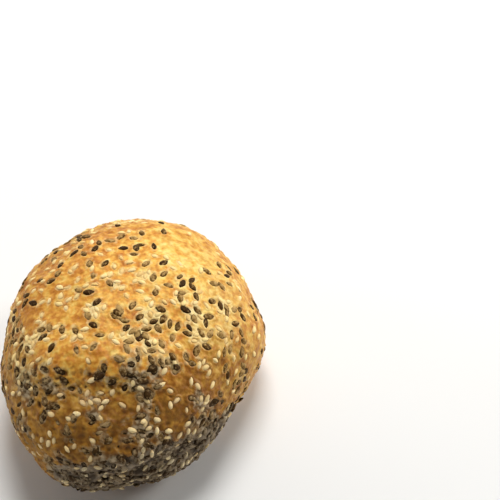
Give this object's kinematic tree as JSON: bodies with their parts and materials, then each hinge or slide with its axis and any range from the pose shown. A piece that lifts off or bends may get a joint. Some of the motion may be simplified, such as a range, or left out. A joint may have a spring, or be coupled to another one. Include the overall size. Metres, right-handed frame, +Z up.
{
  "type": "bread roll",
  "caption": "Round domed bread roll with a golden crust, a tucked belly, a flat base and scattered flax and sesame seeds.",
  "frame": {"origin": "on the flat base, about the middle of the roll's plan", "axes": "+Z up from the base, -Y towards the viewer of the picture, +X to the viewer's right"},
  "size_m": [0.0995, 0.1117, 0.0652],
  "materials": {
    "crust": null,
    "flax_seeds": null,
    "sesame_seeds": null
  },
  "bodies": {
    "root": {"roll": "crust"}
  },
  "joints": []
}
